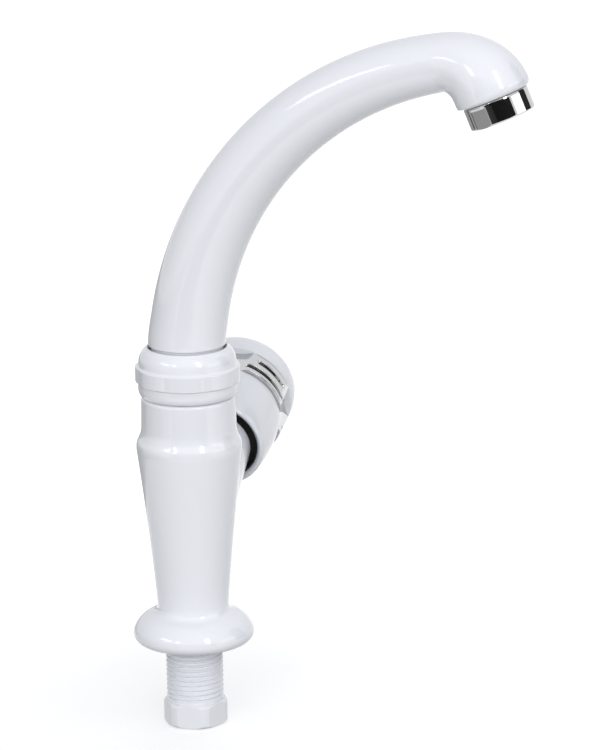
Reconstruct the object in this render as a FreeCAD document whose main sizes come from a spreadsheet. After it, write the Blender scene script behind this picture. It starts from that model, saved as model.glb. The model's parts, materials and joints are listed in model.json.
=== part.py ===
import FreeCAD, Part
import math
import os
import re
import Sketcher

# Pillar tap: a column on a foot flange, a swivelling swan-neck spout, and a screw-down
# valve whose knob stands out behind the column. Millimetres and degrees.
# The origin is the centre of the foot's underside, +Z is up and the spout points to +X.
SIZES = {
    # foot flange and column
    "foot_face_radius": 19.9,
    "foot_rim_round": 3.9,
    "foot_shoulder_radius": 20.6,
    "foot_shoulder_height": 6.6,
    "foot_crown_round": 9.3,
    "foot_fillet_radius": 15.2,
    "foot_fillet_height": 11.0,
    "foot_fillet_round": 3.2,
    "column_foot_radius": 12.95,
    "column_foot_height": 13.8,
    "column_flare_round": 1300.0,
    "shoulder_radius": 19.05,
    "shoulder_height": 72.0,
    "shoulder_land": 4.3,
    "shoulder_draft": 0.1,
    "shoulder_round": 9.0,
    "neck_draft": 0.25,
    "neck_sweep_length": 5.3,
    "neck_sweep_round": 12.0,
    "neck_length": 11.3,
    "neck_wall": 1.9,
    "neck_thread_length": 10.6,
    # threaded shank, G 1/2 with a G 3/8 socket in its spanner end
    "thread_radius": 10.4775,
    "thread_pitch": 1.814,
    "thread_root_radius": 9.32,
    "thread_crest_share": 0.1,
    "thread_clearance": 0.04,
    "shank_reach": 31.5,
    "spanner_length": 8.8,
    "spanner_flats": 21.8,
    "spanner_chamfer_radius": 11.75,
    "spanner_chamfer": 0.9,
    "shank_socket_depth": 16.0,
    "shank_bore_radius": 6.0,
    "inlet_radius": 7.475,
    "inlet_depth": 10.0,
    "seal_thickness": 1.6,
    "gasket_inner_radius": 14.0,
    "gasket_outer_radius": 18.6,
    "gasket_depth": 1.5,
    # water ways in the column
    "column_bore_height": 43.0,
    "riser_radius": 2.8,
    "riser_across": 0.5,
    "riser_back": -4.5,
    "outlet_radius": 3.6,
    "outlet_across": -0.9,
    "outlet_back": 7.5,
    "plug_step": 2.3,
    "plug_space": 14.0,
    # collar nut
    "nut_ring_wall": 2.25,
    "nut_ring_taper": 0.55,
    "nut_skirt_length": 5.3,
    "nut_band_length": 6.2,
    "nut_lobe_wall": 3.85,
    "nut_crease_depth": 0.55,
    "nut_lobes": 8,
    "nut_lobe_turn": -28.0,
    "nut_band_edge": 0.6,
    "nut_dome_wall": 2.65,
    "nut_dome_rise": 6.5,
    "nut_dome_round": 9.0,
    "nut_lip": 3.6,
    "nut_top_land": 0.6,
    "nut_mouth_clearance": 0.5,
    "nut_thread_clearance": 0.05,
    # swivel of the spout
    "washer_thickness": 0.8,
    "swivel_gap": 0.05,
    "flange_thickness": 1.4,
    "slip_ring_height": 2.5,
    "slip_ring_reach": 0.7,
    "slip_ring_clearance": 0.4,
    "slip_groove_depth": 1.7,
    "slip_ring_split": 2.4,
    "plug_clearance": 0.06,
    "plug_length": 23.5,
    "plug_wall": 3.4,
    "plug_seal_inset": 5.5,
    "plug_seal_spacing": 8.5,
    "plug_seal_section": 2.4,
    "seal_clearance": 0.025,
    # spout tube: one long arc and a tight one over the outlet
    "spout_root_radius": 14.1,
    "spout_waist_radius": 10.5,
    "spout_head_radius": 13.7,
    "spout_wall": 2.2,
    "spout_arc_lift": 0.7,
    "spout_arc_radius": 117.8,
    "spout_arc_turn": 79.5,
    "head_arc_radius": 18.4,
    "head_arc_turn": 78.0,
    "head_edge_round": 1.2,
    # aerator in the head
    "aerator_radius": 11.9,
    "aerator_length": 8.3,
    "aerator_thread_radius": 10.6,
    "aerator_thread_length": 5.0,
    "aerator_bore_radius": 9.9,
    "aerator_lip_radius": 9.1,
    "aerator_lip": 0.9,
    "aerator_edge": 0.5,
    "aerator_flat_depth": 0.75,
    "aerator_flat_start": 1.1,
    "cartridge_wall": 1.2,
    "cartridge_plate": 1.5,
    "cartridge_holes": 12,
    "cartridge_hole_radius": 0.8,
    "screen_thickness": 0.4,
    "screen_hole_radius": 0.85,
    "screen_hole_spacing": 2.5,
    "aerator_washer": 1.5,
    # valve axis: it starts on the column's axis and rises away from it
    "valve_azimuth": 96.3,
    "valve_tilt": 16.0,
    "valve_height": 53.4,
    # distances along the valve axis from the column's axis
    "port_depth": 9.0,
    "port_radius": 3.4,
    "seat_place": 2.0,
    "chamber_radius": 6.65,
    "boss_root_radius": 16.0,
    "boss_end_radius": 13.3,
    "boss_end": 38.6,
    "bonnet_low": 10.0,
    "bonnet_guide_flats": 9.2,
    "bonnet_guide_end": 26.3,
    "bonnet_washer": 0.8,
    "bonnet_head": 4.0,
    "bonnet_head_flats": 15.2,
    "spindle_radius": 3.5,
    "running_clearance": 0.05,
    "spindle_thread_radius": 2.6,
    "spindle_tip": 12.0,
    "spindle_collar_radius": 4.5,
    "spindle_collar": 1.6,
    "spindle_seal_inset": 4.7,
    "spindle_seal_spacing": 5.0,
    "spindle_seal_section": 1.2,
    "clip_thickness": 0.7,
    "clip_radius": 5.0,
    "clip_gap": 1.6,
    "spindle_neck": 1.75,
    "spindle_square": 5.0,
    "spindle_square_length": 8.0,
    "jumper_lift": 3.0,
    "jumper_radius": 5.6,
    "jumper_washer": 2.4,
    "jumper_disc": 1.8,
    "jumper_head_room": 0.65,
    "jumper_screw_radius": 1.4,
    "jumper_screw_head": 2.2,
    # knob: white skirt, bright ring and white cap
    "mouth_lap": 1.0,
    "mouth_radius": 16.4,
    "lip_radius": 18.3,
    "lip_round": 1.1,
    "skirt_length": 23.3,
    "skirt_end_radius": 19.5,
    "skirt_round": 90.0,
    "knob_wall": 2.0,
    "hub_radius": 6.2,
    "hub_clearance": 0.5,
    "hub_floor": 1.3,
    "knob_screw_radius": 1.4,
    "knob_screw_head": 3.2,
    "ring_start_radius": 20.7,
    "ring_end_radius": 21.0,
    "ring_length": 12.3,
    "ring_groove_depth": 1.3,
    "ring_scoops": 4,
    "ring_scoop_radius": 14.0,
    "ring_scoop_reach": 18.3,
    "ring_scoop_turn": 6.0,
    "spigot_radius": 16.2,
    "cap_edge_radius": 20.9,
    "cap_radius": 21.0,
    "cap_rim": 5.8,
    "cap_round": 6.5,
    "cap_face_radius": 18.2,
    "cap_face": 11.1,
    "cap_dome": 2.0,
    "cap_snap_depth": 3.5,
    "fit_clearance": 0.1,
}

doc = FreeCAD.newDocument("pillar_tap")
sheet = doc.addObject("Spreadsheet::Sheet", "Sheet")
for row, (alias, size) in enumerate(SIZES.items(), start=1):
    sheet.set("A%d" % row, alias.replace("_", " "))
    sheet.set("B%d" % row, str(size))
    sheet.setAlias("B%d" % row, alias)
doc.recompute()

nodes = {}


def formula(text):
    """The same formula with every size read from the sheet."""
    def named(word):
        return "Sheet." + word.group(0) if word.group(0) in SIZES else word.group(0)
    return re.sub(r"[a-z]\w*", named, str(text))


def number(text):
    """What a formula of sizes comes to."""
    result = sheet.evalExpression(formula(text))
    return float(getattr(result, "Value", result))


def bind(thing, prop, text):
    """Tie one property to a formula of sizes."""
    thing.setExpression(prop, formula(text))


def turn_about_z(degrees):
    return FreeCAD.Placement(FreeCAD.Vector(), FreeCAD.Rotation(FreeCAD.Vector(0, 0, 1), degrees))


def moved(across, back, up):
    return FreeCAD.Placement(FreeCAD.Vector(across, back, up), FreeCAD.Rotation())


def raised(place, distance):
    """The same place, moved along its own axis."""
    return place.multiply(moved(0, 0, distance))


upright = FreeCAD.Placement()


def plane_of(body, role):
    return next(plane for plane in body.Origin.OriginFeatures if plane.Role == role)


def closed_loop(sketch, corners, tag):
    """Draw one closed outline and tie each corner to the sheet.

    A corner is (across, along), or (across, along, radius, side) when the edge that starts
    there is an arc; side is 1 with its centre on the left of the way and -1 on the right.
    """
    points = [FreeCAD.Vector(number(corner[0]), number(corner[1]), 0) for corner in corners]
    edges = []
    for index, corner in enumerate(corners):
        start = points[index]
        end = points[(index + 1) % len(points)]
        if len(corner) == 2:
            edges.append((sketch.addGeometry(Part.LineSegment(start, end), False), 1, 2))
            continue
        radius = number(corner[2])
        way = end - start
        left = FreeCAD.Vector(-way.y, way.x, 0).normalize()
        rise = math.sqrt(radius ** 2 - (way.Length / 2) ** 2)
        centre = (start + end) * 0.5 + left * rise * corner[3]
        first, last = (start, end) if corner[3] > 0 else (end, start)
        angles = [math.atan2(point.y - centre.y, point.x - centre.x) for point in (first, last)]
        circle = Part.Circle(centre, FreeCAD.Vector(0, 0, 1), radius)
        arc = sketch.addGeometry(Part.ArcOfCircle(circle, angles[0], angles[1]), False)
        edges.append((arc, 1, 2) if corner[3] > 0 else (arc, 2, 1))
        name = "%s_round_%d" % (tag, index)
        place = sketch.addConstraint(Sketcher.Constraint("Radius", arc, radius))
        sketch.renameConstraint(place, name)
        bind(sketch, "Constraints." + name, corner[2])
    for index, (edge, begin, finish) in enumerate(edges):
        after = edges[(index + 1) % len(edges)]
        sketch.addConstraint(Sketcher.Constraint("Coincident", edge, finish, after[0], after[1]))
        for kind, level, still, text in (("DistanceX", points[index].x, "Vertical", corners[index][0]),
                                         ("DistanceY", points[index].y, "Horizontal", corners[index][1])):
            if str(text) == "0":
                sketch.addConstraint(Sketcher.Constraint(still, edge, begin, -1, 1))
                continue
            place = sketch.addConstraint(Sketcher.Constraint(kind, -1, 1, edge, begin, level))
            name = "%s_%s_%d" % (tag, kind, index)
            sketch.renameConstraint(place, name)
            bind(sketch, "Constraints." + name, text)


def turned(label, *loops, place=upright):
    """A piece turned about its axis; each loop is an outline of (radius, height) corners."""
    body = doc.addObject("PartDesign::Body", label)
    sketch = body.newObject("Sketcher::SketchObject", label + "_outline")
    sketch.AttachmentSupport = (plane_of(body, "XZ_Plane"), [""])
    sketch.MapMode = "FlatFace"
    for index, corners in enumerate(loops):
        closed_loop(sketch, corners, "loop%d" % index)
    turn = body.newObject("PartDesign::Revolution", label + "_turn")
    turn.Profile = sketch
    turn.ReferenceAxis = (sketch, ["V_Axis"])
    turn.Angle = 360
    body.Tip = turn
    body.Placement = place
    doc.recompute()
    return body


def ring(label, inner, outer, low, high, place=upright):
    """A plain washer or sleeve between two radii and two heights."""
    return turned(label, [(inner, low), (outer, low), (outer, high), (inner, high)], place=place)


def rod(label, radius, low, high, place=upright):
    """A round rod or the tool for a round hole."""
    piece = doc.addObject("Part::Cylinder", label)
    bind(piece, "Radius", radius)
    bind(piece, "Height", "(%s) - (%s)" % (high, low))
    piece.Placement = raised(place, number(low))
    return piece


def bar(label, sides, flats, low, high, place=upright):
    """A bar with a regular section, given by the width over its flats."""
    piece = doc.addObject("Part::Prism", label)
    piece.Polygon = sides
    bind(piece, "Circumradius", "(%s) / 2 / cos(180deg / %d)" % (flats, sides))
    bind(piece, "Height", "(%s) - (%s)" % (high, low))
    piece.Placement = raised(place, number(low))
    return piece


def block(label, width, depth, height, place):
    """A box centred on its place, standing on it."""
    piece = doc.addObject("Part::Box", label)
    bind(piece, "Length", width)
    bind(piece, "Width", depth)
    bind(piece, "Height", height)
    piece.Placement = place.multiply(moved(-number(width) / 2, -number(depth) / 2, 0))
    return piece


def o_ring(label, section, centre_radius, height, place=upright):
    """A round seal in its groove."""
    piece = doc.addObject("Part::Torus", label)
    bind(piece, "Radius1", centre_radius)
    bind(piece, "Radius2", "(%s) / 2" % section)
    piece.Placement = raised(place, number(height))
    return piece


def joined(label, pieces):
    whole = doc.addObject("Part::MultiFuse", label)
    whole.Shapes = pieces
    whole.Refine = True
    return whole


def without(label, base, tools):
    """The base with every tool cut out of it."""
    tool = tools[0] if len(tools) == 1 else joined(label + "_tools", tools)
    rest = doc.addObject("Part::Cut", label)
    rest.Base = base
    rest.Tool = tool
    return rest


def shared(label, base, tool):
    """What two solids have in common."""
    piece = doc.addObject("Part::Common", label)
    piece.Base = base
    piece.Tool = tool
    return piece


def keep(name, piece):
    piece.Label = name
    nodes[name] = piece


# The valve's own frame: its X runs level beside the axis and its Z along it, outwards.
azimuth = math.radians(number("valve_azimuth"))
tilt = math.radians(number("valve_tilt"))
level_out = FreeCAD.Vector(math.cos(azimuth), math.sin(azimuth), 0)
valve_out = level_out * math.cos(tilt) + FreeCAD.Vector(0, 0, math.sin(tilt))
valve_level = FreeCAD.Vector(math.sin(azimuth), -math.cos(azimuth), 0)
valve_start = FreeCAD.Vector(0, 0, number("valve_height"))
valve_turn = FreeCAD.Rotation(valve_level, valve_out.cross(valve_level), valve_out, "ZXY")
valve = FreeCAD.Placement(valve_start, valve_turn)

# Heights and radii that several pieces share, each standing on the one before.
neck_top = "shoulder_height + shoulder_land + neck_sweep_length"
collar_seam = neck_top + " + neck_length"
column_top = collar_seam + " + neck_thread_length"
band_low = collar_seam + " + nut_skirt_length"
band_high = band_low + " + nut_band_length"
washer_top = column_top + " + washer_thickness"
flange_low = washer_top + " + swivel_gap"
groove_low = flange_low + " + flange_thickness"
slip_low = groove_low + " + swivel_gap"
slip_high = slip_low + " + slip_ring_height"
groove_high = slip_high + " + swivel_gap"
nut_shoulder = groove_high + " + swivel_gap"
nut_top = nut_shoulder + " + nut_lip"
tail_top = nut_top + " + swivel_gap * 6"
plug_bottom = column_top + " - plug_length"
bore_floor = plug_bottom + " - plug_space"
slip_radius = "spout_root_radius + slip_ring_reach"
slip_groove = "spout_root_radius - slip_groove_depth"
spout_bore = "spout_root_radius - plug_step"
plug_bore = spout_bore + " - plug_wall"
neck_thread = slip_radius + " + slip_ring_clearance"
neck_radius = neck_thread + " + neck_wall"
lobe_radius = "(%s + nut_lobe_wall)" % neck_thread
crease_radius = "(%s + nut_lobe_wall - nut_crease_depth)" % neck_thread
dome_radius = neck_thread + " + nut_dome_wall"
tube_bore = "spout_waist_radius - spout_wall"


# Distances along the valve's axis that several pieces share.
head_low = "boss_end + bonnet_washer"
head_high = head_low + " + bonnet_head"
clip_low = head_high + " + running_clearance * 3"
clip_high = clip_low + " + clip_thickness"
square_low = clip_high + " + spindle_neck"
spindle_end = square_low + " + spindle_square_length"
hub_low = square_low + " + hub_clearance"
collar_high = "bonnet_guide_end - running_clearance"
collar_low = collar_high + " - spindle_collar"
jumper_top = collar_low + " - jumper_lift - jumper_head_room"
knob_mouth = "boss_end - mouth_lap"
skirt_end = knob_mouth + " + skirt_length"
ring_end = skirt_end + " + ring_length"


def spout_seal_height(index):
    return plug_bottom + " + plug_seal_inset + plug_seal_spacing * %d" % index


def spindle_seal_place(index):
    return "bonnet_guide_end + spindle_seal_inset + spindle_seal_spacing * %d" % index


# Column: foot flange, flared column and neck in one moulding with the valve boss.
def make_column():
    outside = turned("column_outside", [
        ("0", "0"),
        ("foot_face_radius", "0", "foot_rim_round", 1),
        ("foot_shoulder_radius", "foot_shoulder_height", "foot_crown_round", 1),
        ("foot_fillet_radius", "foot_fillet_height", "foot_fillet_round", -1),
        ("column_foot_radius", "column_foot_height", "column_flare_round", -1),
        ("shoulder_radius", "shoulder_height", "shoulder_round", 1),
        ("shoulder_radius - shoulder_draft", "shoulder_height + shoulder_land", "neck_sweep_round", -1),
        (neck_radius + " + neck_draft", neck_top),
        (neck_radius, collar_seam),
        (neck_thread, collar_seam),
        (neck_thread, column_top),
        ("0", column_top)])
    boss = turned("valve_boss", [
        ("0", "seat_place"),
        ("boss_root_radius", "seat_place"),
        ("boss_end_radius", "boss_end"),
        ("0", "boss_end")], place=valve)
    solid = joined("column_solid", [outside, boss])
    riser_at = moved(number("riser_across"), number("riser_back"), 0)
    outlet_at = moved(number("outlet_across"), number("outlet_back"), 0)
    hollows = [
        rod("shank_socket", "thread_radius + thread_clearance", "0", "shank_socket_depth + seal_thickness"),
        rod("column_bore", "shank_bore_radius", "0", "column_bore_height"),
        ring("gasket_recess", "gasket_inner_radius", "gasket_outer_radius", "0", "gasket_depth"),
        rod("riser", "riser_radius", "column_bore_height - riser_radius",
            "valve_height - port_radius / 2", riser_at),
        rod("seat_port", "port_radius", "-port_depth", "seat_place", valve),
        rod("valve_chamber", "chamber_radius", "seat_place", "boss_end", valve),
        rod("outlet", "outlet_radius", "valve_height + outlet_radius",
            bore_floor + " + outlet_radius", outlet_at),
        rod("spout_bore", spout_bore, bore_floor, column_top),
    ]
    keep("column", without("column_cut", solid, hollows))


def thread_groove(low, high):
    """The helical V groove between two heights; the last turns run out past both ends."""
    pitch = number("thread_pitch")
    crest = number("thread_radius")
    root = number("thread_root_radius")
    half = pitch * (1 - number("thread_crest_share")) / 2
    crown = pitch * number("thread_crest_share") / 2
    beyond = 0.04
    outer = crest + beyond
    spread = half + (half - crown) * beyond / (crest - root)
    corners = [FreeCAD.Vector(outer, 0, -spread), FreeCAD.Vector(root, 0, -crown),
               FreeCAD.Vector(root, 0, crown), FreeCAD.Vector(outer, 0, spread)]
    turns = math.ceil((high - low) / pitch) + 1
    spine = Part.Wire(Part.makeHelix(pitch, turns * pitch, root).Edges)
    groove = doc.addObject("Part::Feature", "shank_thread_groove")
    groove.Shape = spine.makePipe(Part.Face(Part.makePolygon(corners + corners[:1])))
    groove.Placement = FreeCAD.Placement(FreeCAD.Vector(0, 0, low), FreeCAD.Rotation())
    return groove


# Shank: one thread from end to end, cut as a helix, with a hexagon to turn it by.
def make_shank():
    foot = "-shank_reach"
    thread_end = "-shank_reach + spanner_length"
    tube = rod("shank_tube", "thread_radius", foot, "shank_socket_depth")
    hexagon = bar("shank_hexagon", 6, "spanner_flats", foot, thread_end, turn_about_z(8))
    corners = turned("shank_corner_rounding", [
        ("0", foot),
        ("spanner_chamfer_radius - spanner_chamfer", foot),
        ("spanner_chamfer_radius", foot + " + spanner_chamfer"),
        ("spanner_chamfer_radius", thread_end + " - spanner_chamfer"),
        ("spanner_chamfer_radius - spanner_chamfer", thread_end),
        ("0", thread_end)])
    solid = joined("shank_solid", [tube, shared("shank_spanner_end", hexagon, corners)])
    groove = thread_groove(number(thread_end + " + thread_pitch / 2"), number("shank_socket_depth"))
    bores = [groove,
             rod("shank_bore", "shank_bore_radius", foot, "shank_socket_depth"),
             rod("shank_inlet", "inlet_radius", foot, foot + " + inlet_depth")]
    keep("shank", without("shank_cut", solid, bores))
    keep("shank_seal", ring("shank_seal_ring", "shank_bore_radius", "thread_root_radius",
                            "shank_socket_depth", "shank_socket_depth + seal_thickness"))
    keep("foot_gasket", ring("foot_gasket_ring", "gasket_inner_radius", "gasket_outer_radius",
                             "0", "gasket_depth"))


# Collar nut: it screws on the neck and holds the spout down by the slip ring.
def make_collar_nut():
    hollow = neck_thread + " + nut_thread_clearance"
    mouth = "spout_root_radius + nut_mouth_clearance"
    shell = turned("nut_shell", [
        ("0", collar_seam),
        (neck_thread + " + nut_ring_wall", collar_seam),
        (neck_thread + " + nut_ring_wall + nut_ring_taper", band_low),
        (dome_radius, band_low),
        (dome_radius, nut_top + " - nut_dome_rise", "nut_dome_round", 1),
        (mouth + " + nut_top_land", nut_top),
        ("0", nut_top)])
    band = doc.addObject("PartDesign::Body", "nut_band")
    sketch = band.newObject("Sketcher::SketchObject", "nut_lobe")
    sketch.AttachmentSupport = (plane_of(band, "XY_Plane"), [""])
    sketch.MapMode = "FlatFace"
    bind(sketch, "AttachmentOffset.Base.z", band_low)
    half = 180 / number("nut_lobes")
    side = crease_radius + " * sin(180deg / nut_lobes)"
    front = crease_radius + " * cos(180deg / nut_lobes)"
    rise = "(%s - %s)" % (lobe_radius, front)
    lobe_round = "((%s)^2 + %s^2) / 2 / %s" % (side, rise, rise)
    closed_loop(sketch, [("0", "0"), (front, "-(%s)" % side, lobe_round, 1), (front, side)], "lobe")
    pad = band.newObject("PartDesign::Pad", "nut_lobe_pad")
    pad.Profile = sketch
    bind(pad, "Length", "nut_band_length")
    doc.recompute()
    lobes = band.newObject("PartDesign::PolarPattern", "nut_lobes_round")
    lobes.Originals = [pad]
    lobes.Axis = (sketch, ["N_Axis"])
    lobes.Angle = 360
    bind(lobes, "Occurrences", "nut_lobes")
    band.Tip = lobes
    band.Placement = turn_about_z(number("nut_lobe_turn") + half)
    doc.recompute()
    softened = turned("nut_band_edges", [
        ("0", band_low),
        (lobe_radius + " - nut_band_edge", band_low, "nut_band_edge * 1.05", 1),
        (lobe_radius, band_low + " + nut_band_edge"),
        (lobe_radius, band_high + " - nut_band_edge", "nut_band_edge * 1.05", 1),
        (lobe_radius + " - nut_band_edge", band_high),
        ("0", band_high)])
    grip = shared("nut_grip", band, softened)
    solid = joined("nut_solid", [shell, grip])
    bores = [rod("nut_hollow", hollow, collar_seam, nut_shoulder),
             rod("nut_mouth", mouth, nut_shoulder, nut_top)]
    keep("collar_nut", without("collar_nut_cut", solid, bores))
    keep("thrust_washer", ring("thrust_washer_ring", spout_bore,
                               slip_radius + " - slip_ring_clearance", column_top, washer_top))


# Spout: plug and flange of the swivel, the swan-neck tube and the head over the outlet.
def path_point(turn):
    """Place and slope of the tube's centre line after so many degrees of turn."""
    long_turn = number("spout_arc_turn")
    on_long = math.radians(min(turn, long_turn))
    radius = number("spout_arc_radius")
    point = FreeCAD.Vector(radius * (1 - math.cos(on_long)), 0,
                           number(column_top + " + spout_arc_lift") + radius * math.sin(on_long))
    if turn > long_turn:
        tight = number("head_arc_radius")
        whole = math.radians(turn)
        point.x += tight * (math.cos(on_long) - math.cos(whole))
        point.z += tight * (math.sin(whole) - math.sin(on_long))
    return FreeCAD.Placement(point, FreeCAD.Rotation(FreeCAD.Vector(0, 1, 0), turn))


def hoop(label, radius, place):
    circle = doc.addObject("Part::Circle", label)
    bind(circle, "Radius", radius)
    circle.Placement = place
    return circle


def tube_loft(label, radius_on_neck, radius_on_head, first_place, first_radius):
    """A tapering tube through hoops along the centre line."""
    hoops = [hoop(label + "_root", first_radius, first_place)]
    long_turn = number("spout_arc_turn")
    neck_steps = 9
    for step in range(1, neck_steps + 1):
        share = step / neck_steps
        taper = 0.6 * share + 0.4 * share ** 2
        place = path_point(long_turn * share)
        hoops.append(hoop("%s_neck_%d" % (label, step), radius_on_neck % taper, place))
    head_steps = 7
    for step in range(1, head_steps + 1):
        share = step / head_steps
        swell = min(share / 0.85, 1)
        swell = swell * swell * (3 - 2 * swell)
        turn = long_turn + number("head_arc_turn") * share
        hoops.append(hoop("%s_head_%d" % (label, step), radius_on_head % swell, path_point(turn)))
    loft = doc.addObject("Part::Loft", label)
    loft.Sections = hoops
    loft.Solid = True
    return loft


def make_spout():
    upright_at = moved(0, 0, number(tail_top))
    outside = tube_loft(
        "spout_outside",
        "spout_root_radius - (spout_root_radius - spout_waist_radius) * %f",
        "spout_waist_radius + (spout_head_radius - spout_waist_radius) * %f",
        upright_at, "spout_root_radius")
    rounded = doc.addObject("Part::Fillet", "spout_head_rounded")
    rounded.Base = outside
    doc.recompute()
    outlet = path_point(number("spout_arc_turn") + number("head_arc_turn")).Base
    rim = [index for index, edge in enumerate(outside.Shape.Edges, start=1)
           if (edge.BoundBox.Center - outlet).Length < number("spout_wall") / 4]
    soft = number("head_edge_round")
    rounded.Edges = [(index, soft, soft) for index in rim]
    plug = spout_bore + " - plug_clearance"
    groove = spout_bore + " - plug_seal_section + seal_clearance * 2"
    seats = []
    for index in range(2):
        height = spout_seal_height(index)
        seats.append(ring("spout_seal_groove_%d" % index, groove, spout_bore + " + plug_seal_section",
                          height + " - plug_seal_section * 0.6", height + " + plug_seal_section * 0.6"))
    tail = turned("spout_tail", [
        ("0", plug_bottom),
        (plug, plug_bottom),
        (plug, flange_low),
        ("spout_root_radius", flange_low),
        ("spout_root_radius", groove_low),
        (slip_groove, groove_low),
        (slip_groove, groove_high),
        ("spout_root_radius", groove_high),
        ("spout_root_radius", tail_top),
        ("0", tail_top)])
    solid = joined("spout_solid", [tail, rounded])
    inside = tube_loft(
        "spout_inside",
        "spout_root_radius - spout_wall * 1.6"
        " - (spout_root_radius - spout_wall * 0.6 - spout_waist_radius) * %f",
        tube_bore + " + (aerator_bore_radius - (" + tube_bore + ")) * %f * 0.9",
        upright_at, plug_bore)
    outlet_at = path_point(number("spout_arc_turn") + number("head_arc_turn"))
    hollows = seats + [
        inside,
        rod("plug_bore", plug_bore, plug_bottom, tail_top),
        rod("aerator_seat", "aerator_thread_radius + thread_clearance",
            "-aerator_thread_length - aerator_washer", "1", outlet_at)]
    keep("spout", without("spout_cut", solid, hollows))
    for index, name in enumerate(("spout_seal_lower", "spout_seal_upper")):
        keep(name, o_ring(name + "_ring", "plug_seal_section - seal_clearance * 4",
                          spout_bore + " - plug_seal_section / 2 + seal_clearance",
                          spout_seal_height(index)))
    slip = ring("slip_ring_whole", slip_groove + " + swivel_gap", slip_radius, slip_low, slip_high)
    gap = block("slip_ring_gap", "(%s) * 2" % slip_radius, "slip_ring_split", "slip_ring_height * 2",
                moved(-number(slip_radius), 0, number(groove_low)))
    keep("slip_ring", without("slip_ring_split_open", slip, [gap]))


# Aerator: it screws into the head; its own axis leaves the head through the outlet.
def make_aerator():
    outlet = path_point(number("spout_arc_turn") + number("head_arc_turn"))
    inner_end = "-aerator_thread_length"
    shell = turned("aerator_tube", [
        ("aerator_bore_radius", inner_end),
        ("aerator_thread_radius", inner_end),
        ("aerator_thread_radius", "0"),
        ("aerator_radius - aerator_edge / 2", "0"),
        ("aerator_radius", "aerator_edge / 2"),
        ("aerator_radius", "aerator_length - aerator_edge"),
        ("aerator_radius - aerator_edge", "aerator_length"),
        ("aerator_lip_radius", "aerator_length"),
        ("aerator_lip_radius", "aerator_length - aerator_lip"),
        ("aerator_bore_radius", "aerator_length - aerator_lip")], place=outlet)
    flats = []
    for index, side in enumerate((-1, 1)):
        reach = number("aerator_radius - aerator_flat_depth")
        middle = reach + number("aerator_flat_depth") * 2
        at = outlet.multiply(moved(0, side * middle, number("aerator_flat_start")))
        flats.append(block("aerator_flat_%d" % index, "aerator_radius", "aerator_flat_depth * 4",
                           "aerator_length", at))
    keep("aerator_shell", without("aerator_shell_cut", shell, flats))
    cup = "aerator_bore_radius - fit_clearance"
    floor = "aerator_length - aerator_lip - screen_thickness - swivel_gap"
    body = turned("cartridge_cup", [
        ("0", inner_end),
        (cup, inner_end),
        (cup, floor),
        (cup + " - cartridge_wall", floor),
        (cup + " - cartridge_wall", inner_end + " + cartridge_plate"),
        ("0", inner_end + " + cartridge_plate")], place=outlet)
    jets = []
    for index in range(int(number("cartridge_holes"))):
        spin = turn_about_z(360 * index / number("cartridge_holes"))
        offset = moved(number("aerator_bore_radius") * 0.6, 0, 0)
        jets.append(rod("cartridge_jet_%d" % index, "cartridge_hole_radius",
                        "-aerator_thread_length - 1", "0", outlet.multiply(spin).multiply(offset)))
    keep("aerator_cartridge", without("cartridge_cut", body, jets))
    disc = rod("screen_disc", "aerator_bore_radius - fit_clearance",
               "aerator_length - aerator_lip - screen_thickness", "aerator_length - aerator_lip", outlet)
    holes = []
    spacing = number("screen_hole_spacing")
    reach = number("aerator_lip_radius - screen_hole_radius - 0.3")
    for column in range(-4, 5):
        for line in range(-4, 5):
            across = spacing * (column + line / 2)
            along = spacing * line * math.sqrt(3) / 2
            if math.hypot(across, along) > reach:
                continue
            at = outlet.multiply(moved(across, along, 0))
            holes.append(rod("screen_hole", "screen_hole_radius", "aerator_length - aerator_lip * 2",
                             "aerator_length", at))
    keep("aerator_screen", without("screen_cut", disc, holes))
    keep("aerator_washer", ring("aerator_washer_ring", "aerator_lip_radius - 0.6", "aerator_thread_radius",
                                "-aerator_thread_length - aerator_washer", inner_end, place=outlet))


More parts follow.
